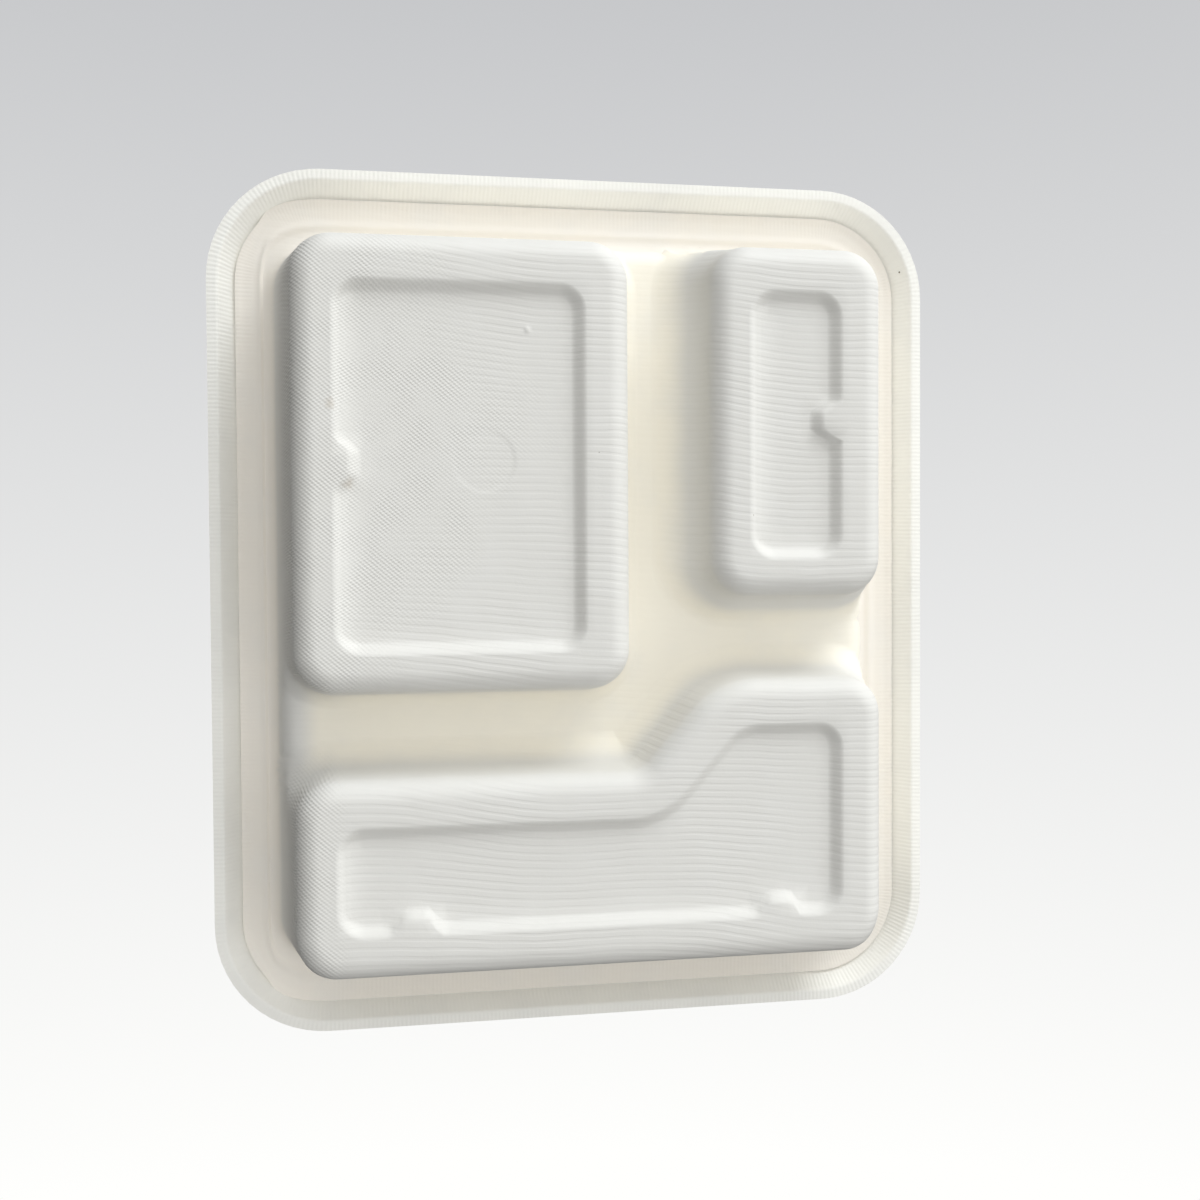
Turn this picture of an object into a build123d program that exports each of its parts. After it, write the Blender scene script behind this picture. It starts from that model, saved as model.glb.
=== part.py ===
"""Moulded-fibre meal tray with three compartments and a lift-off lid.

Millimetres, +Z up.  The origin is under the middle of the tray, on the plane its feet rest on.
Both pieces are thin pressed skins: each is an outer form less the same form one wall inside it.
"""
from build123d import *
import math
import os

# --- Overall sizes -------------------------------------------------------------------------
TRAY_WIDTH = 189.0        # across the tray's flange, along X
TRAY_LENGTH = 222.0       # across the tray's flange, along Y
TRAY_DEPTH = 34.0         # from the feet to the underside of the flange
WALL = 0.9                # thickness of the pressed fibre
FLANGE_CORNER = 23.5      # plan radius of the flange's corners
FLANGE_WIDTH = 12.2       # from the flange's edge to the head of the wall

# --- Compartments --------------------------------------------------------------------------
WALL_DRAFT = 7.0          # lean of the walls, degrees from upright
ROOM_CORNER = 14.0        # plan radius of a compartment's corners at the flange
FLOOR_ROUND = 6.0         # radius where a wall turns into the floor, on the outside
DIVIDER = 15.0            # between two compartments' walls, at the flange's level
DIVIDER_DROP = 12.0       # a divider's top is this far under the flange
MAIN_WIDTH = 94.5         # main compartment, along X
LONG_LENGTH = 57.6        # long compartment's low end, along Y; the main one takes what is left
SLANT_STEP = 24.0         # along Y, how much further the long compartment's high end reaches
SLANT_RUN = 21.4          # along X, how far the long compartment's slanted edge runs
SLANT_INSIDE_ROUND = 3.5  # plan radius where the slanted edge leaves the low end
SLANT_OUTSIDE_ROUND = 28.0  # plan radius where the slanted edge meets the high end
SLANT_START = 92.0        # along X, from the tray's wall to the slanted edge's start

# --- Raised floor panels, which leave a foot all round -----------------------------------------
FOOT_WIDTH = 12.3         # from a compartment's floor edge to its panel
PANEL_RISE = 2.2          # how far a panel stands above the feet
PANEL_CORNER = 6.0        # plan radius of a panel's corners
PANEL_DRAFT = 35.0        # lean of a panel's edge, degrees from upright
CORNER_SHARE = 0.45       # a panel's corners take at most this much of its shortest edge

# --- Lid ---------------------------------------------------------------------------------------
RIM_CLEARANCE = 0.35      # round the tray's edge, inside the lid's rim
RIM_SLOPE = 3.9           # across the lid's sloping rim, in plan
RIM_DROP = 5.4            # how far the lid's lip hangs under the lid's seat
LIP_WIDTH = 2.8           # the flat lip outside the slope
SEAT_WIDTH = 13.5         # from the tray's edge to the foot of the lid's raised panel
LID_RISE = 9.0            # how far the lid's panel stands above its seat
LID_DRAFT = 22.0          # lean of the raised panel's wall, degrees from upright
LID_ROUND = 4.0           # radius round the top of the raised panel

# --- Worked out from the above ---------------------------------------------------------------------
half_width = TRAY_WIDTH / 2 - FLANGE_WIDTH
half_length = TRAY_LENGTH / 2 - FLANGE_WIDTH
floor_inset = TRAY_DEPTH * math.tan(math.radians(WALL_DRAFT))
flange_top = TRAY_DEPTH + WALL


def skin_inset(draft):
    """Inset of an inner wall at the upper face, so that a leaning wall keeps its thickness."""
    lean = math.radians(draft)
    return WALL * (1 / math.cos(lean) - math.tan(lean))


def inset_corners(corners, distance):
    """Move a closed run of corners inwards; the corners run anticlockwise."""
    moved = []
    for index, corner in enumerate(corners):
        before = Vector(corner) - Vector(corners[index - 1])
        after = Vector(corners[(index + 1) % len(corners)]) - Vector(corner)
        before = before.normalized()
        after = after.normalized()
        inward = Vector(-before.Y - after.Y, before.X + after.X)
        scale = distance / (1 + before.dot(after))
        moved.append(Vector(corner) + inward * scale)
    return moved


def outline(corners, radii, distance, height):
    """A flat face inside the corners, with every corner rounded, at a height."""
    points = [Vector(point.X, point.Y, height) for point in inset_corners(corners, distance)]
    edge = FilletPolyline(*points, radius=radii, close=True)
    return make_face(edge)


def rectangle(left, right, near, far):
    """Anticlockwise corners of an upright rectangle."""
    return [(left, near), (right, near), (right, far), (left, far)]


def sunk(face, depth, draft):
    """A solid that goes down from a face, leaning inwards."""
    return extrude(face, amount=depth, dir=(0, 0, -1), taper=draft)


def raised(face, depth, draft):
    """A solid that goes up from a face, leaning inwards."""
    return extrude(face, amount=depth, dir=(0, 0, 1), taper=draft)


# --- Plan of the tray, at the flange's level -------------------------------------------------------
main_right = -half_width + MAIN_WIDTH
main_far = half_length - LONG_LENGTH - DIVIDER
low_near = main_far + DIVIDER
high_near = low_near - SLANT_STEP
side_far = high_near - DIVIDER
slant_left = -half_width + SLANT_START

tray_plan = rectangle(-half_width, half_width, -half_length, half_length)
main_plan = rectangle(-half_width, main_right, -half_length, main_far)
side_plan = rectangle(main_right + DIVIDER, half_width, -half_length, side_far)
long_plan = [
    (-half_width, low_near),
    (slant_left, low_near),
    (slant_left + SLANT_RUN, high_near),
    (half_width, high_near),
    (half_width, half_length),
    (-half_width, half_length),
]
slant_places = (1, 2)     # the corners of long_plan at the two ends of its slanted edge


def corner_radii(plan, corner, distance):
    """Radii of a plan's corners once it is moved in: the slanted edge's follow the move."""
    radii = [corner] * len(plan)
    if len(plan) > len(tray_plan):
        radii[slant_places[0]] = SLANT_INSIDE_ROUND + distance
        radii[slant_places[1]] = SLANT_OUTSIDE_ROUND - distance
    return radii


def panel(plan, height, grow):
    """The space under one raised floor panel."""
    distance = floor_inset + FOOT_WIDTH - grow
    corners = inset_corners(plan, distance)
    shortest = min((corner - corners[index - 1]).length for index, corner in enumerate(corners))
    radii = corner_radii(plan, min(PANEL_CORNER, CORNER_SHARE * shortest), distance)
    return raised(outline(plan, radii, distance, height), PANEL_RISE, PANEL_DRAFT)


def room(plan, distance, top, round_off):
    """One compartment's form, from the flange's level down to its floor."""
    radii = corner_radii(plan, ROOM_CORNER - distance, distance)
    form = sunk(outline(plan, radii, distance, top), TRAY_DEPTH, WALL_DRAFT)
    floor = form.faces().sort_by(Axis.Z)[0]
    return fillet(floor.edges(), round_off)


def tray_form(distance, lift, round_off, panel_grow):
    """Everything under the flange: three compartments joined by the dividers' block."""
    top = TRAY_DEPTH + lift
    radii = [ROOM_CORNER - distance] * len(tray_plan)
    form = sunk(outline(tray_plan, radii, distance, top), DIVIDER_DROP, WALL_DRAFT)
    for plan in (main_plan, side_plan, long_plan):
        form += room(plan, distance, top, round_off)
        form -= panel(plan, lift, panel_grow)
    return form


def make_tray():
    """The tray: a flat flange, three compartments and the dividers between them."""
    edge = rectangle(-TRAY_WIDTH / 2, TRAY_WIDTH / 2, -TRAY_LENGTH / 2, TRAY_LENGTH / 2)
    plate = outline(edge, [FLANGE_CORNER] * len(edge), 0, TRAY_DEPTH)
    flange = extrude(plate, amount=WALL, dir=(0, 0, 1))
    outside = tray_form(0, 0, FLOOR_ROUND, 0)
    inside = tray_form(skin_inset(WALL_DRAFT), WALL, FLOOR_ROUND - WALL, skin_inset(PANEL_DRAFT))
    return flange + outside - inside


def lid_form(distance, lift, round_off):
    """The space under the lid: its raised panel and the hollow of its rim."""
    seat = flange_top + lift
    rim_draft = math.degrees(math.atan(RIM_SLOPE / RIM_DROP))
    edge = rectangle(-TRAY_WIDTH / 2, TRAY_WIDTH / 2, -TRAY_LENGTH / 2, TRAY_LENGTH / 2)
    reach = RIM_CLEARANCE + RIM_SLOPE + distance
    radii = [FLANGE_CORNER + reach] * len(edge)
    rim = raised(outline(edge, radii, -reach, seat - RIM_DROP), RIM_DROP, rim_draft)
    panel_radii = [FLANGE_CORNER - SEAT_WIDTH + distance] * len(edge)
    field = outline(edge, panel_radii, SEAT_WIDTH - distance, seat)
    hump = raised(field, LID_RISE, LID_DRAFT)
    hump = fillet(hump.faces().sort_by(Axis.Z)[-1].edges(), round_off)
    return rim + hump


def make_lid():
    """The lid: a raised panel, a seat on the tray's flange, a sloping rim and a flat lip."""
    edge = rectangle(-TRAY_WIDTH / 2, TRAY_WIDTH / 2, -TRAY_LENGTH / 2, TRAY_LENGTH / 2)
    reach = RIM_CLEARANCE + RIM_SLOPE + LIP_WIDTH
    lip_face = outline(edge, [FLANGE_CORNER + reach] * len(edge), -reach, flange_top - RIM_DROP)
    lip = extrude(lip_face, amount=WALL, dir=(0, 0, 1))
    rim_lean = math.atan(RIM_SLOPE / RIM_DROP)
    grow = WALL * (1 / math.cos(rim_lean) - math.tan(rim_lean))
    outside = lid_form(grow, WALL, LID_ROUND + WALL)
    inside = lid_form(0, 0, LID_ROUND)
    return lip + outside - inside


os.makedirs("parts", exist_ok=True)
export_step(make_tray(), "parts/tray.step")
export_step(make_lid(), "parts/lid.step")
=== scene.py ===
"""Meal tray of pressed plant fibre with three compartments, and its lift-off lid.

The tray stands on its feet with its open side up.  Lengths are metres, in the part's own frame.
"""

import math
from collections import namedtuple

import bpy
import numpy as np
from bpy.props import FloatProperty, FloatVectorProperty, PointerProperty
from mathutils import Matrix, Vector
from mathutils.geometry import delaunay_2d_cdt


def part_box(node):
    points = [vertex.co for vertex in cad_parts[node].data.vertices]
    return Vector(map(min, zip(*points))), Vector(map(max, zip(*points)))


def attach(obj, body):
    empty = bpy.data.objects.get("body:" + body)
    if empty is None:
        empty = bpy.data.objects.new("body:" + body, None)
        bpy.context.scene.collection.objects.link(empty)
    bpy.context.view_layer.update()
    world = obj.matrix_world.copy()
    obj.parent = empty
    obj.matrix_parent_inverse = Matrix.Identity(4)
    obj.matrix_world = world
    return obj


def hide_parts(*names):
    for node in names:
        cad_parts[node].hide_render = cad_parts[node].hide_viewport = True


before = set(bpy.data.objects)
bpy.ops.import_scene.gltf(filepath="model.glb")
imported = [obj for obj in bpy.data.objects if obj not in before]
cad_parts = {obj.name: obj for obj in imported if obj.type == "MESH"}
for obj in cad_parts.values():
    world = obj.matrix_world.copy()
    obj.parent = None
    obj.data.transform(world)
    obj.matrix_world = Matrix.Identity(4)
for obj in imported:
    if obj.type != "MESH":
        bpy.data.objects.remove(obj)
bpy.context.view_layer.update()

bl_info = {
    "name": "Compartment meal tray",
    "version": (1, 0, 0),
    "blender": (4, 5, 0),
    "location": "View3D > Sidebar > Meal tray",
    "description": "Models a pressed-fibre meal tray with a lift-off lid and sets up its studio",
    "category": "Object",
}

MM = 0.001
TINY = 1e-9
SMALLEST_ROUND = 0.3 * MM
SLANT_INSIDE_ROUND = 3.5 * MM     # where the long compartment's slanted edge leaves its low end
SLANT_OUTSIDE_ROUND = 28.0 * MM   # and where it meets the high end
PANEL_LEFT = 1.6 * MM             # a floor panel's left side is moved out by this
PANEL_FAR = 2.0 * MM              # and its far side by this
PANEL_EDGE = (-1.3 * MM, 2.7 * MM)  # a raised floor panel's soft edge, measured inwards from its outline
SMOOTH_ANGLE = math.radians(50)
EDGE_DIP = 0.28 * MM              # the flange's edge under the rest of it
RIDGE_DIP = 0.55 * MM             # the low ridge that runs beside the walls
RIDGE_PLACE = 7.3 * MM
RIDGE_WIDTH = 1.2 * MM
LEFT_LEAN = 2.4 * MM              # the left wall's head stands this much further out
LEAN_FADE = 7 * MM                # over this much of the flange the move dies out
FAR_CROWD = 0.8                   # how much steeper the narrow compartment's shoulder is on its far side
FAR_STAND = 1.5 * MM              # the far wall's foot stands this much further out
TRIM_PITCHES = (2.3, 4.1, 7.9)    # the trimmed edge's waves
EDGE_WAVE = 0.22 * MM             # how unevenly the tray's edge is trimmed
PIMPLE = (-18.4, -71.3)           # a stray pimple on the main compartment's panel
PIMPLE_RISE = 0.32 * MM
EJECTOR = (-29.8, -37.3)          # the middle of the ejector's round mark
EJECTOR_DIP = 0.15 * MM
TRAY_LOW, TRAY_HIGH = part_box("tray")


# --- Settings -----------------------------------------------------------------------------------


def length(name, description, default):
    """A size that a user may change, in metres."""
    return FloatProperty(name=name, description=description, default=default, unit="LENGTH", precision=4)


def angle(name, description, degrees):
    """An angle that a user may change."""
    return FloatProperty(name=name, description=description, default=math.radians(degrees), subtype="ANGLE")


def power(name, description, default):
    """A light's power that a user may change, in watts."""
    return FloatProperty(name=name, description=description, default=default, unit="POWER")


def colour(name, description, default):
    """A colour that a user may change."""
    return FloatVectorProperty(
        name=name, description=description, default=default, subtype="COLOR", size=3, min=0, max=1
    )


class TraySizes(bpy.types.PropertyGroup):
    """Sizes of the tray."""

    width: length("Width", "Across the flange, left to right", TRAY_HIGH[0] - TRAY_LOW[0])
    depth_across: length("Length", "Across the flange, near to far", TRAY_HIGH[1] - TRAY_LOW[1])
    wall: length("Wall", "Thickness of the pressed fibre", 0.9 * MM)
    flange_width: length("Flange", "From the tray's edge to the head of its walls", 12.2 * MM)
    flange_corner: length("Flange corner", "Plan radius of the flange's corners", 23.5 * MM)
    draft: angle("Draft", "Lean of the walls from upright", 7.0)
    room_corner: length("Compartment corner", "Plan radius of a compartment's corners", 14.0 * MM)
    floor_round: length("Floor radius", "Where a wall turns into the floor", 6.0 * MM)
    head_round: length("Head radius", "Where the flange turns down into a wall", 4.5 * MM)
    divider: length("Divider", "Between two compartments at the flange's level", 15.0 * MM)
    divider_drop: length("Divider drop", "A divider's top under the flange", 12.0 * MM)
    main_shoulder: length("Main shoulder", "Radius from a divider's top into the main compartment", 7.0 * MM)
    side_shoulder: length("Narrow shoulder", "The same radius at the narrow compartment", 18.5 * MM)
    long_shoulder: length("Long shoulder", "The same radius at the long compartment", 12.0 * MM)
    divider_lean: angle("Divider lean", "Slope of a divider's shoulder where it starts", 22.0)
    divider_end_round: length("Divider end radius", "Where a divider's top meets the outer wall", 5.0 * MM)
    main_width: length("Main width", "Main compartment, left to right", 94.5 * MM)
    main_length: length("Main length", "Main compartment, near to far", 125.0 * MM)
    side_length: length("Narrow length", "Narrow compartment, near to far", 101.0 * MM)
    slant_start: length("Slant start", "From the outer wall to the slanted edge", 92.0 * MM)
    slant_run: length("Slant run", "How far the slanted edge runs sideways", 21.4 * MM)
    foot_width: length("Foot width", "From a floor's edge to its raised panel", 12.3 * MM)
    panel_rise: length("Panel rise", "Raised floor panel above the feet", 2.4 * MM)
    panel_corner: length("Panel corner", "Plan radius of a raised panel's corners", 6.0 * MM)


class LidSizes(bpy.types.PropertyGroup):
    """Sizes of the lid."""

    clearance: length("Clearance", "Round the tray's edge, inside the rim", 0.15 * MM)
    rim_slope: length("Rim slope", "Across the sloping rim, in plan", 4.1 * MM)
    rim_drop: length("Rim drop", "The lip under the lid's seat", 5.4 * MM)
    lip_width: length("Lip width", "The flat lip outside the slope", 2.8 * MM)
    seat_width: length("Seat width", "From the tray's edge to the raised panel", 13.5 * MM)
    rise: length("Panel rise", "The lid's panel above its seat", 9.0 * MM)
    draft: angle("Panel draft", "Lean of the raised panel's wall", 22.0)
    crown: length("Panel radius", "Round the top of the raised panel", 4.0 * MM)
    field_inset: length("Field inset", "From the panel's edge to the shallow field in its top", 14.0 * MM)
    field_slope: length("Field slope", "Across the field's sloping edge, in plan", 2.0 * MM)
    field_drop: length("Field drop", "The field under the panel's top", 1.2 * MM)


class FibreLook(bpy.types.PropertyGroup):
    """Colours of the pressed fibre, with its painted warm light, and its grain."""

    pale: colour("Fibre", "Colour of the pressed fibre", (0.755, 0.745, 0.71))
    # Painted warm light: a lighter, warmer colour for the upper walls and the dividers' tops
    painted_warm_light: colour("Painted warm light", "Lighter, warmer colour painted high on the walls as warm light", (0.95, 0.905, 0.79))
    # Painted warm light: the flange's lighter, warmer colour
    flange: colour("Painted flange light", "Lighter, warmer colour painted on the flange as warm light", (0.88, 0.835, 0.76))
    cloud: colour("Cloud", "Colour of the fibre's paler patches", (0.80, 0.795, 0.77))
    lid: colour("Lid fibre", "Colour of the lid's fibre", (0.925, 0.915, 0.865))
    speck: colour("Speck", "Colour of the dark fibre specks", (0.16, 0.12, 0.08))
    stain: colour("Stain", "Colour of the faint brown marks", (0.50, 0.42, 0.32))
    roughness: FloatProperty(name="Roughness", description="How matt it is", default=0.55, min=0, max=1)
    mesh_pitch: length("Mesh pitch", "Spacing of the forming mesh's imprint", 2.05 * MM)


class StudioSetup(bpy.types.PropertyGroup):
    """Camera and light."""

    camera_place: FloatVectorProperty(
        name="Camera", description="Where the camera stands", subtype="TRANSLATION", unit="LENGTH",
        default=(-0.0644, -0.0107, -0.3554),
    )
    camera_aim: FloatVectorProperty(
        name="Aim", description="What the camera looks at", subtype="TRANSLATION", unit="LENGTH",
        default=(0.0061, 0.0, 0.034),
    )
    camera_roll: angle("Roll", "The camera's turn about its own line of sight", -0.35)
    field_of_view: angle("Field of view", "Of the square picture", 47.0)
    key_power: power("Key light", "Power of the light from the right", 13.0)
    top_power: power("Top light", "Power of the light above", 10.0)


# --- Plan outlines ------------------------------------------------------------------------------


def rectangle(left, right, near, far):
    """Anticlockwise corners of an upright rectangle."""
    return [Vector((left, near)), Vector((right, near)), Vector((right, far)), Vector((left, far))]


def inset_corners(corners, distance):
    """Corners moved inwards by a distance; they run anticlockwise."""
    moved = []
    for index, corner in enumerate(corners):
        before = (corner - corners[index - 1]).normalized()
        after = (corners[(index + 1) % len(corners)] - corner).normalized()
        inward = Vector((-before.y - after.y, before.x + after.x))
        moved.append(corner + inward * distance / (1 + before.dot(after)))
    return moved


def stretched(corners):
    """A panel's corners with its left and far sides moved out."""
    left = min(corner.x for corner in corners)
    far = max(corner.y for corner in corners)
    return [
        Vector((corner.x - PANEL_LEFT * (corner.x == left), corner.y + PANEL_FAR * (corner.y == far)))
        for corner in corners
    ]


class Outline:
    """A closed plan outline with rounded corners, which can be drawn at any inset."""

    def __init__(self, corners, radii, spacing, arc_steps):
        self.corners = corners
        self.radii = radii
        self.arc_steps = arc_steps
        self.turns = []
        self.side_steps = []
        for index, corner in enumerate(corners):
            before = corner - corners[index - 1]
            after = corners[(index + 1) % len(corners)] - corner
            self.turns.append(-before.angle_signed(after))
            self.side_steps.append(max(2, round(after.length / spacing)))

    def arc(self, corners, index, inset):
        """Points round one corner at an inset."""
        turn = self.turns[index]
        side = math.copysign(1, turn)
        radius = max(self.radii[index] - inset * side, SMALLEST_ROUND)
        before = (corners[index] - corners[index - 1]).normalized()
        inward = Vector((-before.y, before.x)) * side
        start = corners[index] - before * radius * math.tan(abs(turn) / 2)
        centre = start + inward * radius
        turned = [Matrix.Rotation(turn * step / self.arc_steps, 2) for step in range(self.arc_steps + 1)]
        return [centre + turn_by @ (start - centre) for turn_by in turned]

    def points(self, inset):
        """Points all round at an inset; every inset gives as many points, in the same order."""
        corners = inset_corners(self.corners, inset)
        arcs = [self.arc(corners, index, inset) for index in range(len(corners))]
        points = []
        for index, arc in enumerate(arcs):
            following = arcs[(index + 1) % len(arcs)]
            steps = self.side_steps[index]
            points.extend(arc)
            points.extend(arc[-1].lerp(following[0], step / steps) for step in range(1, steps))
        return points


# --- Tray ------------------------------------------------------------------------------------------
# Its underside is a depth under the flange for every place in the plan.  The plan's mesh lines
# follow the walls, so that steep walls and round corners come out as even rows of faces.


def ramp(value, start, end):
    """0 before start, 1 after end, and a smooth turn between."""
    share = np.clip((value - start) / (end - start), 0, 1)
    return share * share * (3 - 2 * share)


def side_distance(places, outline):
    """How far each place is inside a closed outline; outside is negative."""
    line = np.array(outline)
    ahead = np.roll(line, -1, axis=0)
    step = ahead - line
    nearest = np.full(len(places), np.inf)
    inside = np.zeros(len(places), dtype=bool)
    for start, run, end in zip(line, step, ahead):
        offset = places - start
        share = np.clip((offset @ run) / max(run @ run, TINY), 0, 1)
        gap = offset - share[:, None] * run
        nearest = np.minimum(nearest, (gap * gap).sum(axis=1))
        crosses = (start[1] > places[:, 1]) != (end[1] > places[:, 1])
        rise = run[1] if run[1] else TINY
        inside ^= crosses & (places[:, 0] < start[0] + (places[:, 1] - start[1]) * run[0] / rise)
    return np.where(inside, 1, -1) * np.sqrt(nearest)


class TrayPlan:
    """The tray's outlines in plan, worked out from its sizes."""

    def __init__(self, sizes):
        self.sizes = sizes
        half_width = sizes.width / 2 - sizes.flange_width
        half_length = sizes.depth_across / 2 - sizes.flange_width
        main_right = -half_width + sizes.main_width
        main_far = -half_length + sizes.main_length
        side_far = -half_length + sizes.side_length
        low_near = main_far + sizes.divider
        high_near = side_far + sizes.divider
        slant_left = -half_width + sizes.slant_start
        edge = rectangle(-sizes.width / 2, sizes.width / 2, -sizes.depth_across / 2, sizes.depth_across / 2)
        outer = rectangle(-half_width, half_width, -half_length, half_length)
        main = rectangle(-half_width, main_right, -half_length, main_far)
        side = rectangle(main_right + sizes.divider, half_width, -half_length, side_far)
        long = [
            Vector((-half_width, low_near)),
            Vector((slant_left, low_near)),
            Vector((slant_left + sizes.slant_run, high_near)),
            Vector((half_width, high_near)),
            Vector((half_width, half_length)),
            Vector((-half_width, half_length)),
        ]
        corner = sizes.room_corner
        slanted = [corner, SLANT_INSIDE_ROUND, SLANT_OUTSIDE_ROUND, corner, corner, corner]
        self.edge = Outline(edge, [sizes.flange_corner] * 4, 4 * MM, 14)
        self.outer = Outline(outer, [corner] * 4, 4 * MM, 14)
        self.rooms = [
            Outline(main, [corner] * 4, 4 * MM, 14),
            Outline(side, [corner] * 4, 4 * MM, 14),
            Outline(long, slanted, 4 * MM, 14),
        ]
        self.shoulders = [sizes.main_shoulder, sizes.side_shoulder, sizes.long_shoulder]
        floor = self.wall_reach(self.depth()) + sizes.foot_width
        panel = sizes.panel_corner
        slanted = [panel, SLANT_INSIDE_ROUND + floor, SLANT_OUTSIDE_ROUND - floor, panel, panel, panel]
        self.panels = [
            Outline(stretched(inset_corners(main, floor)), [panel] * 4, 2 * MM, 10),
            Outline(stretched(inset_corners(side, floor)), [panel] * 4, 2 * MM, 10),
            Outline(stretched(inset_corners(long, floor)), slanted, 2 * MM, 10),
        ]

    def depth(self):
        """From the flange's underside to the feet."""
        return TRAY_HIGH[2] - self.sizes.wall

    def wall_reach(self, depth):
        """How far a wall leans in over a depth."""
        return depth * math.tan(self.sizes.draft)


def wall_depth(plan, inset):
    """Depth of an endless leaning wall with a rounded head, against the inset from its head."""
    sizes = plan.sizes
    half_turn = (math.pi / 2 - sizes.draft) / 2
    centre = -sizes.head_round * math.tan(half_turn)
    across = np.clip(inset - centre, 0, sizes.head_round * math.cos(sizes.draft))
    arc = sizes.head_round - np.sqrt(sizes.head_round**2 - across**2)
    wall = inset / math.tan(sizes.draft)
    return np.where(inset - centre < sizes.head_round * math.cos(sizes.draft), arc, wall)


def crowned(plan, inset, level, crown):
    """A leaning wall that turns with a radius into a floor at a level."""
    draft = plan.sizes.draft
    centre = (level - crown) * math.tan(draft) + crown / math.cos(draft)
    across = np.clip(centre - inset, 0, crown * math.cos(draft))
    arc = level - crown + np.sqrt(crown**2 - across**2)
    return np.where(centre - inset < crown * math.cos(draft), arc, np.minimum(wall_depth(plan, inset), level))


def shoulder(plan, radius):
    """A divider's shoulder: where its arc starts, and the arc's own start and end."""
    sizes = plan.sizes
    start = radius * math.sin(sizes.divider_lean)
    end = radius * math.cos(sizes.draft)
    foot = sizes.divider_drop + radius * (math.cos(sizes.divider_lean) - math.sin(sizes.draft))
    return plan.wall_reach(foot) - (end - start), start, end


def room_distances(plan, places):
    """How far each place is inside each compartment; past the narrow one's far side it counts for more."""
    distances = [side_distance(places, room.points(0)) for room in plan.rooms]
    middle = plan.rooms[1].corners[3] + Vector((1, -1)) * plan.sizes.room_corner
    sideways = np.maximum(middle.x - places[:, 0], 0)
    beyond = np.maximum(places[:, 1] - middle.y, TINY)
    share = beyond**2 / (sideways**2 + beyond**2)
    distances[1] = np.where(distances[1] < 0, distances[1] * (1 + FAR_CROWD * share), distances[1])
    return distances


def room_depth(plan, inset, radius):
    """Depth of a compartment that starts from a divider's top, against the inset from its head."""
    head, start, end = shoulder(plan, radius)
    across = np.clip(inset - head + start, start, end)
    centre = plan.sizes.divider_drop + radius * math.cos(plan.sizes.divider_lean)
    arc = centre - np.sqrt(radius**2 - across**2)
    below = crowned(plan, inset, plan.depth(), plan.sizes.floor_round)
    return np.where(inset - head < end - start, arc, below)


def underside_depth(plan, places):
    """Depth under the flange at every place in the plan, without the floor panels."""
    sizes = plan.sizes
    outer = side_distance(places, plan.outer.points(0))
    rooms = room_distances(plan, places)
    level = np.max([room_depth(plan, inset, radius) for inset, radius in zip(rooms, plan.shoulders)], axis=0)
    apart = ramp(outer - np.max(rooms, axis=0), 0.2 * MM, 6 * MM)
    return crowned(plan, outer, level, sizes.divider_end_round * apart + TINY)


def flange_form(inset):
    """How far the flange's underside dips: a turned-down edge and a low ridge beside the walls."""
    edge = EDGE_DIP * ramp(inset, 2.6 * MM, 0.5 * MM)
    ridge = RIDGE_DIP * np.exp(-(((inset - RIDGE_PLACE) / RIDGE_WIDTH) ** 2))
    return edge + ridge


def left_lean(plan, across, share):
    """How far the left wall, which leans more than the others, moves out on its way up."""
    head = plan.outer.corners[0].x
    inside = ramp(across, head + 12 * MM, head + 3 * MM)
    flange = ramp(across, head - LEAN_FADE, head)
    return LEFT_LEAN * np.clip(share, 0, 1) * inside * flange


def far_stand(plan, along, share):
    """How far the far wall, which is more upright than the others, moves out on its way down."""
    head = plan.outer.corners[2].y
    return FAR_STAND * np.clip(share, 0, 1) * ramp(along, head - 13 * MM, head - 5 * MM)


def mould_marks(places):
    """A pimple on the main compartment's panel and the shallow round mark of an ejector."""
    pimple = np.hypot(*(places - np.array(PIMPLE) * MM).T)
    mark = np.hypot(*(places - np.array(EJECTOR) * MM).T)
    angle = np.arctan2(places[:, 1] - EJECTOR[1] * MM, places[:, 0] - EJECTOR[0] * MM)
    dip = PIMPLE_RISE * np.exp(-((pimple / (0.7 * MM)) ** 2))
    step = ramp(mark, 8.6 * MM, 7.4 * MM) * (0.55 + 0.45 * np.cos(angle - math.radians(35)))
    return dip - EJECTOR_DIP * step


Lug = namedtuple("Lug", "room place inward depth foot tip")

# A lug is a piece of the foot that reaches into a floor panel.  Room 0 is the main compartment,
# 1 the narrow one and 2 the long one; foot and tip are half widths.
LUGS = (
    Lug(0, (-65.8, -36.2), (1, 0), 3.6, 6.6, 3.2),
    Lug(1, (65.8, -48.5), (-1, 0), 5.2, 5.4, 2.4),
    Lug(2, (-48.3, 82.3), (0, -1), 4.0, 6.4, 3.0),
    Lug(2, (49.0, 82.3), (0, -1), 3.8, 6.2, 2.8),
)
SOFT_SIDE = 0.42                  # a panel's left side rises this much more gently than the others
LUG_SIDE = 8 * MM                 # a lug moves only what is this near its own side of the panel


def with_lugs(points, room):
    """A panel's outline with its lugs pressed in."""
    places = np.array(points)
    for lug in LUGS:
        if lug.room != room:
            continue
        inward = np.array(lug.inward, dtype=float)
        offset = places - np.array(lug.place) * MM
        along = np.abs(offset @ np.array((-inward[1], inward[0])))
        near = np.abs(offset @ inward) < LUG_SIDE
        push = lug.depth * MM * (1 - ramp(along, lug.tip * MM, lug.foot * MM)) * near
        places = places + push[:, None] * inward
    return places


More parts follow.
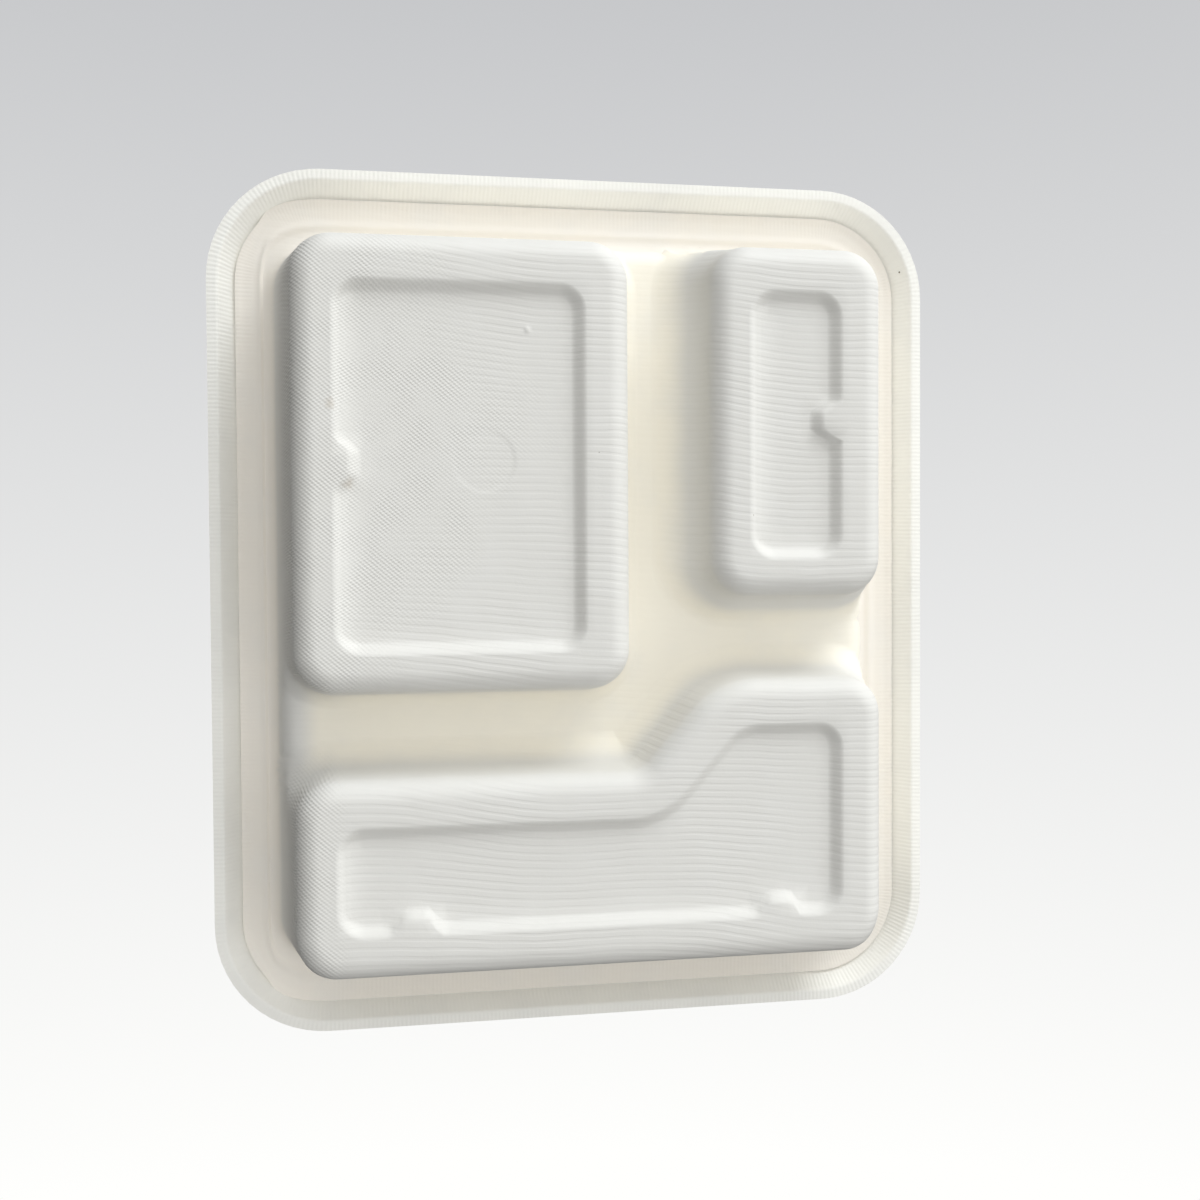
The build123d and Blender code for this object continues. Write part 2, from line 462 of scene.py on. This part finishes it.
class PlanMesh:
    """Places and lines gathered in plan, to be joined into one flat mesh."""

    def __init__(self):
        self.places = []
        self.lines = []

    def add_ring(self, points, keep=None):
        """Adds a closed ring; where keep is false the ring is left open."""
        keep = np.ones(len(points), dtype=bool) if keep is None else keep
        numbers = []
        for point, kept in zip(points, keep):
            numbers.append(len(self.places) if kept else None)
            if kept:
                self.places.append(Vector(point))
        for number, following in zip(numbers, numbers[1:] + numbers[:1]):
            if number is not None and following is not None:
                self.lines.append((number, following))

    def add_places(self, places):
        """Adds loose places."""
        self.places.extend(Vector(place) for place in places)

    def joined(self):
        """The flat mesh's places and triangles."""
        joined = delaunay_2d_cdt(self.places, self.lines, [], 1, TINY)
        return np.array(joined[0]), joined[2]


def stations(start, end, steps):
    """Evenly spaced insets, both ends included."""
    return list(np.linspace(start, end, steps + 1))


def crown_stations(plan, level, crown, steps):
    """Insets that share out the turn from a wall into a floor evenly."""
    draft = plan.sizes.draft
    centre = (level - crown) * math.tan(draft) + crown / math.cos(draft)
    turns = [draft + (math.pi / 2 - draft) * step / steps for step in range(steps + 1)]
    return [centre - crown * math.cos(turn) for turn in turns]


def grid_places(outline, pitch):
    """A square grid over an outline's box, with every other row moved by half a pitch."""
    low = np.array(outline).min(axis=0)
    high = np.array(outline).max(axis=0)
    rows = np.arange(low[1], high[1], pitch)
    places = []
    for number, row in enumerate(rows):
        for across in np.arange(low[0] + pitch / 2 * (number % 2), high[0], pitch):
            places.append((across, row))
    return np.array(places)


def circle_places(centre, radius, count):
    """Places round a circle; centre in millimetres."""
    angles = np.arange(count) * 2 * math.pi / count
    return np.array(centre) * MM + radius * np.column_stack((np.cos(angles), np.sin(angles)))


def trimmed(points):
    """The tray's edge as it is trimmed: a slightly uneven run."""
    uneven = []
    for point in points:
        waves = sum(math.sin(point.x / (pitch * MM) + pitch) + math.sin(point.y / (pitch * MM) - pitch)
                    for pitch in TRIM_PITCHES)
        share = 0.5 + 0.5 * waves / (2 * len(TRIM_PITCHES))
        uneven.append(point - Vector((point.x / TRAY_HIGH[0], point.y / TRAY_HIGH[1])) * EDGE_WAVE * share)
    return uneven


def tray_plan_mesh(plan):
    """The flat mesh of the tray, whose lines follow the flange, the walls and the floor panels."""
    sizes = plan.sizes
    mesh = PlanMesh()
    flange = sizes.flange_width
    mesh.add_ring(trimmed(plan.edge.points(0)))
    for inset in stations(0.7 * MM, flange - 3 * MM, 18):
        mesh.add_ring(plan.edge.points(inset))
    outer = plan.outer.points(0)
    turns = stations(sizes.divider_lean, math.pi / 2 - sizes.draft, 11)
    crown = crown_stations(plan, plan.depth(), sizes.floor_round, 10)
    heads = []
    for room, radius in zip(plan.rooms, plan.shoulders):
        head, start, end = shoulder(plan, radius)
        heads.append(head)
        arc = [head - 0.5 * MM] + [head + radius * math.sin(turn) - start for turn in turns]
        foot = stations(crown[-1], plan.wall_reach(plan.depth()) + sizes.foot_width + PANEL_EDGE[0], 3)
        for inset in arc + stations(arc[-1], crown[0], 2)[1:-1] + crown + foot[1:-1]:
            ring = np.array(room.points(inset))
            apart = side_distance(ring, outer) - inset
            mesh.add_ring(ring, (inset > -2.2 * MM) | (apart > 1 * MM))
    for number, panel in enumerate(plan.panels):
        for inset in stations(PANEL_EDGE[0], PANEL_EDGE[1], 8):
            mesh.add_ring(with_lugs(panel.points(inset), number))
        inner = with_lugs(panel.points(PANEL_EDGE[1]), number)
        places = grid_places(inner, 3.4 * MM)
        if number == 0:
            places = places[np.hypot(*(places - np.array(EJECTOR) * MM).T) > 10.5 * MM]
            places = places[np.hypot(*(places - np.array(PIMPLE) * MM).T) > 3 * MM]
            for radius in stations(6.6 * MM, 9.4 * MM, 7):
                mesh.add_places(circle_places(EJECTOR, radius, 56))
            mesh.add_places(circle_places(EJECTOR, 3.5 * MM, 18))
            for radius in stations(0.3 * MM, 1.8 * MM, 5):
                mesh.add_places(circle_places(PIMPLE, radius, 14))
        mesh.add_places(places[side_distance(places, inner) > 1.5 * MM])
    heads = np.array(heads)[:, None]
    end_crown = crown_stations(plan, sizes.divider_drop, sizes.divider_end_round, 6)
    for inset in stations(-2 * MM, end_crown[0], 4)[:-1] + end_crown + [end_crown[-1] + 1.5 * MM]:
        ring = np.array(plan.outer.points(inset))
        nearest = np.max([side_distance(ring, room.points(0)) for room in plan.rooms] - heads, axis=0)
        mesh.add_ring(ring, nearest < -0.7 * MM)
    places = grid_places(outer, 2 * MM)
    nearest = np.max([side_distance(places, room.points(0)) for room in plan.rooms] - heads, axis=0)
    deep = side_distance(places, outer) > end_crown[-1] + 2.5 * MM
    mesh.add_places(places[deep & (nearest < -0.8 * MM)])
    return mesh.joined()


def new_object(name, places, faces):
    """An object made of places and faces, linked, selected and active."""
    mesh = bpy.data.meshes.new(name)
    mesh.from_pydata([tuple(place) for place in places], [], faces)
    mesh.update()
    piece = bpy.data.objects.new(name, mesh)
    bpy.context.collection.objects.link(piece)
    bpy.ops.object.select_all(action="DESELECT")
    piece.select_set(True)
    bpy.context.view_layer.objects.active = piece
    return piece


def thicken(piece, wall):
    """Gives a downward-facing skin its wall, upwards, and smooth shading between crisp cut edges."""
    solidify = piece.modifiers.new("Wall", "SOLIDIFY")
    solidify.thickness = wall
    solidify.offset = -1
    bpy.ops.object.modifier_apply(modifier=solidify.name)
    bpy.ops.object.shade_smooth_by_angle(angle=SMOOTH_ANGLE)


class MEALTRAY_OT_tray(bpy.types.Operator):
    """Models the tray: flange, three compartments, dividers and raised floor panels"""

    bl_idname = "mealtray.tray"
    bl_label = "Tray"

    def execute(self, context):
        sizes = context.scene.tray_sizes
        plan = TrayPlan(sizes)
        places, faces = tray_plan_mesh(plan)
        depth = underside_depth(plan, places)
        for number, panel in enumerate(plan.panels):
            inset = side_distance(places, with_lugs(panel.points(0), number))
            soft = (places[:, 0] - panel.corners[0].x) * SOFT_SIDE
            depth -= sizes.panel_rise * ramp(np.minimum(inset, soft + SOFT_SIDE * MM), *PANEL_EDGE)
        depth += flange_form(side_distance(places, plan.edge.points(0)))
        depth += mould_marks(places)
        height = plan.depth() - depth
        places[:, 0] -= left_lean(plan, places[:, 0], height / plan.depth())
        places[:, 1] += far_stand(plan, places[:, 1], 1 - height / plan.depth())
        tray = new_object("tray_skin", np.column_stack((places, height)), [face[::-1] for face in faces])
        thicken(tray, sizes.wall)
        look = context.scene.fibre_look
        # The tray's fibre, with painted warm light high on its walls, on its dividers and on its flange
        tray.data.materials.append(fibre_material(look, "Tray fibre", look.pale, look.painted_warm_light, look.flange))
        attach(tray, "tray_body")
        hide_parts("tray")
        return {"FINISHED"}


# --- Lid -------------------------------------------------------------------------------------------


def rounded_run(corners, radii, steps):
    """An open run of corners with each inner corner rounded."""
    run = [Vector(corners[0])]
    for index in range(1, len(corners) - 1):
        corner = Vector(corners[index])
        back = (Vector(corners[index - 1]) - corner).normalized()
        ahead = (Vector(corners[index + 1]) - corner).normalized()
        half = back.angle(ahead) / 2
        reach = radii[index - 1] / math.tan(half)
        middle = (back + ahead).normalized()
        centre = corner + middle * radii[index - 1] / math.sin(half)
        start = corner + back * reach - centre
        turn = start.angle_signed(corner + ahead * reach - centre)
        for step in range(steps + 1):
            run.append(centre + Matrix.Rotation(-turn * step / steps, 2) @ start)
    run.append(Vector(corners[-1]))
    return run


class MEALTRAY_OT_lid(bpy.types.Operator):
    """Models the lid: raised panel, seat, sloping rim and flat lip"""

    bl_idname = "mealtray.lid"
    bl_label = "Lid"

    def execute(self, context):
        sizes = context.scene.lid_sizes
        tray = context.scene.tray_sizes
        plan = TrayPlan(tray)
        seat = TRAY_HIGH[2]
        slope_foot = sizes.clearance + sizes.rim_slope
        lean = sizes.rise * math.tan(sizes.draft)
        field = -sizes.seat_width - lean - sizes.field_inset
        corners = [
            (slope_foot + sizes.lip_width, seat - sizes.rim_drop),
            (slope_foot, seat - sizes.rim_drop),
            (sizes.clearance, seat),
            (-sizes.seat_width, seat),
            (-sizes.seat_width - lean, seat + sizes.rise),
            (field, seat + sizes.rise),
            (field - sizes.field_slope, seat + sizes.rise - sizes.field_drop),
            (field - 3 * sizes.field_slope, seat + sizes.rise - sizes.field_drop),
        ]
        radii = [1.2 * MM, 1.2 * MM, 2.0 * MM, sizes.crown, 2.0 * MM, 2.0 * MM]
        profile = rounded_run(corners, radii, 5)
        outline = Outline(plan.edge.corners, [tray.flange_corner] * 4, 4 * MM, 14)
        rings = [
            [(point.x, point.y, height) for point in outline.points(-reach)]
            for reach, height in profile
        ]
        lid = skin_of_rings("lid_skin", rings)
        bpy.ops.object.mode_set(mode="EDIT")
        bpy.ops.mesh.select_all(action="SELECT")
        bpy.ops.mesh.flip_normals()
        bpy.ops.object.mode_set(mode="OBJECT")
        thicken(lid, tray.wall)
        look = context.scene.fibre_look
        lid.data.materials.append(fibre_material(look, "Lid fibre", look.lid, look.lid, look.lid))
        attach(lid, "lid_body")
        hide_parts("lid")
        return {"FINISHED"}


def skin_of_rings(name, rings):
    """A skin through rings of equal counts, from the outermost in, closed in the middle."""
    count = len(rings[0])
    faces = []
    for ring in range(len(rings) - 1):
        for step in range(count):
            following = (step + 1) % count
            faces.append((ring * count + step, ring * count + following,
                          (ring + 1) * count + following, (ring + 1) * count + step))
    faces.append([(len(rings) - 1) * count + step for step in range(count)])
    return new_object(name, [place for ring in rings for place in ring], faces)


# --- Finishes --------------------------------------------------------------------------------------

PAINTED_WARM_LIGHT_LEVELS = (15.5 * MM, 22.5 * MM)  # painted warm light: the colour turns lighter and warmer between these heights
PAINTED_WARM_LIGHT_START = (-79 * MM, -72 * MM)     # and only right of the left wall, which stays in shade
# Painted warm light: the flange is painted in its own lighter, warmer colour between these heights
PAINTED_FLANGE_LIGHT_LEVELS = (27 * MM, 33 * MM)
CORNER_CENTRE = (71.0 * MM, 87.5 * MM)
CORNER_RUN = 27.0 * MM
ROW_HEIGHT = 0.050 * MM
WEAVE_HEIGHT = 0.066 * MM
WEAVE_PITCH = 0.95 * MM
DASH_LENGTH = 1.5 * MM
EDGE_ROW_HEIGHT = 0.020 * MM
EDGE_ROW_PITCH = 1.15 * MM
GRAIN_HEIGHT = 0.020 * MM
SWELL_HEIGHT = 0.25 * MM
SPECK_SPACING = 6 * MM
STAIN_SHARE = 0.42
SPECK_CHANCE = 0.012              # of the cells that hold a speck
STAINS = (((-69.0, -51.5, 0.3), 2.0), ((-64.3, -31.0, 0.6), 2.6))


class NodeBench:
    """Adds shader nodes to one tree and joins them."""

    def __init__(self, tree):
        self.tree = tree

    def add(self, kind, inputs, **settings):
        """Adds a node; an input is given a value or another node's output."""
        node = self.tree.nodes.new(kind)
        for name, value in settings.items():
            setattr(node, name, value)
        for name, value in inputs.items():
            if isinstance(value, bpy.types.NodeSocket):
                self.tree.links.new(value, node.inputs[name])
            else:
                node.inputs[name].default_value = value
        return node

    def sum(self, operation, first, second=0.0):
        """One sum on one or two numbers."""
        return self.add("ShaderNodeMath", {0: first, 1: second}, operation=operation).outputs[0]

    def turn(self, value, start, end, low=0.0, high=1.0):
        """A smooth change from low to high while the value goes from start to end."""
        inputs = {"Value": value, "From Min": start, "From Max": end, "To Min": low, "To Max": high}
        return self.add("ShaderNodeMapRange", inputs, interpolation_type="SMOOTHSTEP").outputs["Result"]

    def noise(self, place, size, detail=2.0):
        """Soft noise with patches of about a size."""
        inputs = {"Vector": place, "Scale": 1 / size, "Detail": detail}
        return self.add("ShaderNodeTexNoise", inputs).outputs["Fac"]

    def rows(self, along, pitch):
        """Even rows, from -1 to 1, a pitch apart."""
        return self.sum("SINE", self.sum("MULTIPLY", along, 2 * math.pi / pitch))

    def mix(self, share, first, second, blend="MIX"):
        """Mixes two colours."""
        node = self.add("ShaderNodeMix", {}, data_type="RGBA", blend_type=blend)
        for socket, value in zip((node.inputs[0], node.inputs[6], node.inputs[7]), (share, first, second)):
            if isinstance(value, bpy.types.NodeSocket):
                self.tree.links.new(value, socket)
            else:
                socket.default_value = value
        return node.outputs[2]


def run_along_edge(bench, across, along):
    """How far round the rim a place is, within its own quarter of the tray."""
    side = bench.sum("ABSOLUTE", across)
    end = bench.sum("ABSOLUTE", along)
    past_side = bench.sum("MAXIMUM", bench.sum("SUBTRACT", side, CORNER_CENTRE[0]), 0.0)
    past_end = bench.sum("MAXIMUM", bench.sum("SUBTRACT", end, CORNER_CENTRE[1]), 0.0)
    arc = bench.sum("MULTIPLY", bench.sum("ARCTAN2", past_end, past_side), CORNER_RUN)
    straight = bench.sum("SUBTRACT", bench.sum("MINIMUM", end, CORNER_CENTRE[1]),
                         bench.sum("MINIMUM", side, CORNER_CENTRE[0]))
    return bench.sum("ADD", arc, straight)


def imprint(bench, place, x, y, z, look):
    """Height of the forming mesh's imprint and the fibre's own grain, in metres."""
    bend = bench.sum("ADD", bench.sum("MULTIPLY", bench.noise(place, 70 * MM, 0.0), 13 * MM),
                     bench.sum("MULTIPLY", bench.noise(place, 12 * MM, 1.0), 0.9 * MM))
    lean = bench.sum("MULTIPLY", x, -0.075)
    line = bench.sum("ADD", bench.sum("ADD", y, lean), bend)
    rows = bench.turn(bench.rows(line, look.mesh_pitch), -1.0, 0.1)
    strength = bench.turn(bench.noise(place, 22 * MM, 1.0), 0.35, 0.60, 0.45, 1.0)
    rows = bench.sum("MULTIPLY", bench.sum("MULTIPLY", rows, strength), ROW_HEIGHT)
    first = bench.rows(bench.sum("ADD", x, bench.sum("MULTIPLY", y, 0.35)), DASH_LENGTH)
    second = bench.rows(bench.sum("SUBTRACT", y, bench.sum("MULTIPLY", x, 0.05)), WEAVE_PITCH)
    patches = bench.turn(bench.noise(place, 9 * MM, 2.0), 0.3, 0.65, 0.35, 1.0)
    weave = bench.sum("MULTIPLY", first, second)
    weave = bench.sum("MULTIPLY", weave, bench.sum("MULTIPLY", patches, WEAVE_HEIGHT))
    drift = bench.sum("MULTIPLY", bench.noise(place, 26 * MM, 1.0), 36 * MM)
    fade = bench.sum("MULTIPLY", bench.sum("ABSOLUTE", bench.sum("ADD", y, 45 * MM)), 0.55)
    reach = bench.sum("ADD", bench.sum("ADD", x, fade), drift)
    woven = bench.sum("MULTIPLY", bench.turn(reach, 8 * MM, -22 * MM), bench.turn(y, 30 * MM, 20 * MM))
    crest = bench.sum("MULTIPLY", bench.turn(x, -64 * MM, -72 * MM), bench.turn(x, -92 * MM, -80 * MM))
    woven = bench.sum("MAXIMUM", woven, crest)
    low = bench.turn(z, 24 * MM, 10 * MM)
    woven = bench.sum("MULTIPLY", woven, low)
    plain = bench.sum("SUBTRACT", 1.0, bench.sum("MULTIPLY", woven, 0.9))
    plain = bench.sum("MULTIPLY", plain, bench.turn(z, 26 * MM, 12 * MM, 0.25, 1.0))
    pressed = bench.sum("ADD", bench.sum("MULTIPLY", rows, plain), bench.sum("MULTIPLY", weave, woven))
    along = bench.sum("ADD", run_along_edge(bench, x, y), bench.sum("MULTIPLY", bend, 0.3))
    edge = bench.rows(along, EDGE_ROW_PITCH)
    rim = bench.sum("MAXIMUM", bench.turn(bench.sum("ABSOLUTE", x), 84 * MM, 97 * MM),
                    bench.turn(bench.sum("ABSOLUTE", y), 101 * MM, 114 * MM))
    rim = bench.sum("MULTIPLY", rim, bench.turn(z, 25 * MM, 29 * MM))
    edge = bench.sum("MULTIPLY", bench.sum("MULTIPLY", edge, rim), EDGE_ROW_HEIGHT)
    grain = bench.sum("MULTIPLY", bench.noise(place, 0.7 * MM, 3.0), GRAIN_HEIGHT)
    swell = bench.sum("MULTIPLY", bench.noise(place, 16 * MM, 2.0), SWELL_HEIGHT)
    return bench.sum("ADD", bench.sum("ADD", pressed, edge), bench.sum("ADD", grain, swell))


def fibre_material(look, name, pale, painted_warm_light, flange):
    """Pressed plant fibre: off-white, with painted warm light high on the walls, on the dividers' tops and on
    the flange, faintly ribbed.
    """
    material = bpy.data.materials.new(name)
    material.use_nodes = True
    bench = NodeBench(material.node_tree)
    shader = material.node_tree.nodes["Principled BSDF"]
    place = bench.add("ShaderNodeTexCoord", {}).outputs["Object"]
    x, y, z = bench.add("ShaderNodeSeparateXYZ", {0: place}).outputs
    drift = bench.sum("MULTIPLY", bench.noise(place, 20 * MM, 2.0), 2.5 * MM)
    height = bench.sum("ADD", z, drift)
    # Painted warm light: lighter, warmer colour high on the walls and on the dividers' tops, but not on the
    # shaded left wall
    painted_warm_light_share = bench.sum("MULTIPLY", bench.turn(height, *PAINTED_WARM_LIGHT_LEVELS), bench.turn(x, *PAINTED_WARM_LIGHT_START))
    colour = bench.mix(painted_warm_light_share, (*pale, 1), (*painted_warm_light, 1))
    # Painted warm light on the flange, in its own colour
    colour = bench.mix(bench.turn(z, *PAINTED_FLANGE_LIGHT_LEVELS), colour, (*flange, 1))
    patches = bench.turn(bench.noise(place, 14 * MM, 3.0), 0.4, 0.75, 0.0, 0.22)
    colour = bench.mix(patches, colour, (*look.cloud, 1))
    for stain, size in STAINS:
        inputs = {0: place, 1: Vector(stain) * MM}
        away = bench.add("ShaderNodeVectorMath", inputs, operation="DISTANCE").outputs["Value"]
        away = bench.sum("ADD", away, bench.sum("MULTIPLY", bench.noise(place, 1.5 * MM, 2.0), 2.4 * MM))
        share = bench.turn(away, (size + 1.2) * MM, 1.0 * MM, 0.0, STAIN_SHARE)
        colour = bench.mix(share, colour, (*look.stain, 1))
    cells = bench.add("ShaderNodeTexVoronoi", {"Vector": place, "Scale": 1 / SPECK_SPACING})
    lot = bench.add("ShaderNodeSeparateColor", {0: cells.outputs["Color"]}).outputs[0]
    chosen = bench.sum("GREATER_THAN", lot, 1 - SPECK_CHANCE)
    near = bench.turn(cells.outputs["Distance"], 0.055, 0.035)
    colour = bench.mix(bench.sum("MULTIPLY", chosen, near), colour, (*look.speck, 1))
    relief = {"Height": imprint(bench, place, x, y, z, look), "Distance": 1.0, "Strength": 1.0}
    bump = bench.add("ShaderNodeBump", relief)
    links = material.node_tree.links
    links.new(colour, shader.inputs["Base Color"])
    links.new(bump.outputs["Normal"], shader.inputs["Normal"])
    shader.inputs["Roughness"].default_value = look.roughness
    shader.inputs["Specular IOR Level"].default_value = 0.35
    return material


# --- Studio ----------------------------------------------------------------------------------------

MIDDLE = (0, 0, 0.03)
BACKDROP_TURN = (-0.374, 0.395)
BACKDROP_DIM = (0.573, 0.580, 0.594)
BACKDROP_BRIGHT = (1.0, 1.0, 0.985)
LIGHT_FROM = (0.52, -0.34, -0.78)
LIGHT_TURN = (-0.12, 0.62)
LIGHT_DIM = (0.03, 0.03, 0.03)
LIGHT_BRIGHT = (1.03, 1.035, 1.03)
FLOOR_SIZE = 60.0
FLOOR_GAP = 0.4 * MM              # between the feet and the floor


def place_camera(setup):
    """The camera, looking up at the tray's underside."""
    bpy.ops.object.camera_add()
    camera = bpy.context.active_object
    camera.name = "Camera"
    place = Vector(setup.camera_place)
    back = (place - Vector(setup.camera_aim)).normalized()
    up = Vector((0, -1, 0))
    right = up.cross(back).normalized()
    up = back.cross(right)
    turn = Matrix((right, up, back)).transposed() @ Matrix.Rotation(setup.camera_roll, 3, "Z")
    camera.matrix_world = Matrix.Translation(place) @ turn.to_4x4()
    camera.data.sensor_fit = "AUTO"
    camera.data.angle = setup.field_of_view
    camera.data.clip_start = 0.01
    bpy.context.scene.camera = camera


def add_light(name, place, aim, size, power, tint):
    """A soft square light."""
    bpy.ops.object.light_add(type="AREA", location=place)
    light = bpy.context.active_object
    light.name = name
    light.data.size = size
    light.data.energy = power
    light.data.color = tint
    light.rotation_euler = (Vector(place) - Vector(aim)).to_track_quat("Z", "Y").to_euler()
    light.visible_camera = False


def studio_world():
    """A pale backdrop that brightens one way, and a soft light that comes mostly from one side."""
    world = bpy.data.worlds.new("Studio")
    world.use_nodes = True
    tree = world.node_tree
    bench = NodeBench(tree)
    direction = bench.add("ShaderNodeTexCoord", {}).outputs["Generated"]
    along = bench.add("ShaderNodeSeparateXYZ", {0: direction}).outputs[1]
    inputs = {"Value": along, "From Min": BACKDROP_TURN[0], "From Max": BACKDROP_TURN[1]}
    share = bench.add("ShaderNodeMapRange", inputs)
    seen = bench.mix(share.outputs["Result"], (*BACKDROP_DIM, 1), (*BACKDROP_BRIGHT, 1))
    towards = bench.add("ShaderNodeVectorMath", {0: direction, 1: Vector(LIGHT_FROM).normalized()},
                        operation="DOT_PRODUCT").outputs["Value"]
    light = bench.mix(bench.turn(towards, *LIGHT_TURN), (*LIGHT_DIM, 1), (*LIGHT_BRIGHT, 1))
    camera_ray = bench.add("ShaderNodeLightPath", {}).outputs["Is Camera Ray"]
    colour = bench.mix(camera_ray, light, seen)
    tree.links.new(colour, tree.nodes["Background"].inputs["Color"])
    return world


def add_floor():
    """A pale, faintly glowing floor under the feet, seen only from above; light passes through it."""
    bpy.ops.mesh.primitive_plane_add(size=FLOOR_SIZE, location=(0, 0, -FLOOR_GAP))
    floor = bpy.context.active_object
    floor.name = "Floor"
    material = bpy.data.materials.new("Floor")
    material.use_nodes = True
    tree = material.node_tree
    bench = NodeBench(tree)
    shader = tree.nodes["Principled BSDF"]
    shader.inputs["Base Color"].default_value = (0.15, 0.15, 0.15, 1)
    shader.inputs["Roughness"].default_value = 0.9
    shader.inputs["Emission Color"].default_value = (0.50, 0.505, 0.51, 1)
    shader.inputs["Emission Strength"].default_value = 1.0
    clear = bench.add("ShaderNodeBsdfTransparent", {}).outputs[0]
    behind = bench.add("ShaderNodeNewGeometry", {}).outputs["Backfacing"]
    both = bench.add("ShaderNodeMixShader", {0: behind, 1: shader.outputs[0], 2: clear}).outputs[0]
    tree.links.new(both, tree.nodes["Material Output"].inputs["Surface"])
    floor.data.materials.append(material)
    floor.visible_diffuse = False
    floor.visible_glossy = False
    floor.visible_shadow = False


class MEALTRAY_OT_studio(bpy.types.Operator):
    """Sets up the floor, the soft lights and the camera"""

    bl_idname = "mealtray.studio"
    bl_label = "Studio"

    def execute(self, context):
        setup = context.scene.studio
        place_camera(setup)
        add_light("Key", (0.70, -1.40, -0.50), MIDDLE, 0.8, setup.key_power, (0.93, 0.97, 1.0))
        add_light("Top", (0.35, -0.45, 1.0), MIDDLE, 1.3, setup.top_power, (1.0, 1.0, 1.0))
        add_floor()
        context.scene.world = studio_world()
        context.scene.view_settings.view_transform = "Standard"
        return {"FINISHED"}


class MEALTRAY_PT_panel(bpy.types.Panel):
    """Lists the steps that model the tray"""

    bl_label = "Meal tray"
    bl_idname = "MEALTRAY_PT_panel"
    bl_space_type = "VIEW_3D"
    bl_region_type = "UI"
    bl_category = "Meal tray"

    def draw(self, context):
        for operator in STEPS:
            self.layout.operator(operator.bl_idname)


STEPS = (MEALTRAY_OT_tray, MEALTRAY_OT_lid, MEALTRAY_OT_studio)
SETTINGS = {
    "tray_sizes": TraySizes,
    "lid_sizes": LidSizes,
    "fibre_look": FibreLook,
    "studio": StudioSetup,
}


def register():
    """Adds the settings, the steps and the panel."""
    for name, settings in SETTINGS.items():
        bpy.utils.register_class(settings)
        setattr(bpy.types.Scene, name, PointerProperty(type=settings))
    for operator in STEPS:
        bpy.utils.register_class(operator)
    bpy.utils.register_class(MEALTRAY_PT_panel)


def unregister():
    """Takes them out again."""
    bpy.utils.unregister_class(MEALTRAY_PT_panel)
    for operator in reversed(STEPS):
        bpy.utils.unregister_class(operator)
    for name, settings in SETTINGS.items():
        delattr(bpy.types.Scene, name)
        bpy.utils.unregister_class(settings)


def main():
    """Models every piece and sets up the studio."""
    register()
    bpy.ops.mealtray.tray()
    bpy.ops.mealtray.lid()
    bpy.ops.mealtray.studio()
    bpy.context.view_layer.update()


if __name__ == "__main__":
    main()
